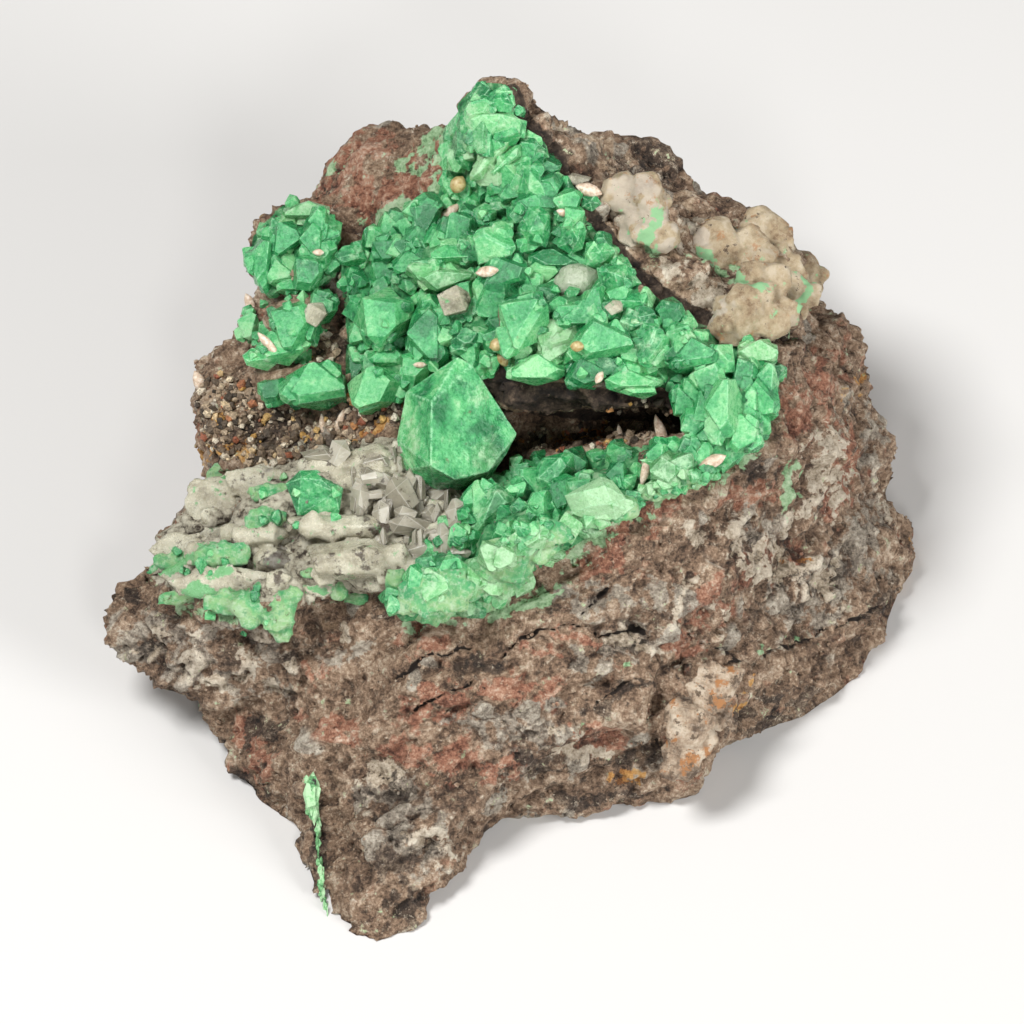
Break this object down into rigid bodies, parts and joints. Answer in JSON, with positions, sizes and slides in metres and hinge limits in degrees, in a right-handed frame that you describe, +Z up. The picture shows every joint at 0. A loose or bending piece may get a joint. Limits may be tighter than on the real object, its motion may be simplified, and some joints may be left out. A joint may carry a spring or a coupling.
{
  "type": "zincolivenite mineral specimen",
  "caption": "Rough brown rock matrix with an open pocket lined by blocky green crystals, a large green crystal at its mouth, pale crystals beside it and a tan crust on one shoulder.",
  "frame": {"origin": "middle of the flat underside that the specimen rests on", "axes": "+Z up; the crystal pocket faces -Y and up; +X to the right as seen from the front"},
  "size_m": [0.037, 0.0394, 0.0212],
  "materials": {
    "rock": "rough",
    "green_crystal": "satin",
    "pale_crystal": "satin",
    "tan_crust": "rough"
  },
  "bodies": {
    "root": {"matrix": "rock", "crystal_crust": "green_crystal", "left_crystal_cluster": "green_crystal", "flake_crystals": "green_crystal", "shelf_crystals": "green_crystal", "plate_crystals": "green_crystal", "tongue_crust": "green_crystal", "large_crystal": "green_crystal", "green_vein": "green_crystal", "pale_crystal_cluster": "pale_crystal", "round_pale_crystal": "pale_crystal", "white_patch": "pale_crystal", "tan_crust": "tan_crust"}
  },
  "joints": []
}
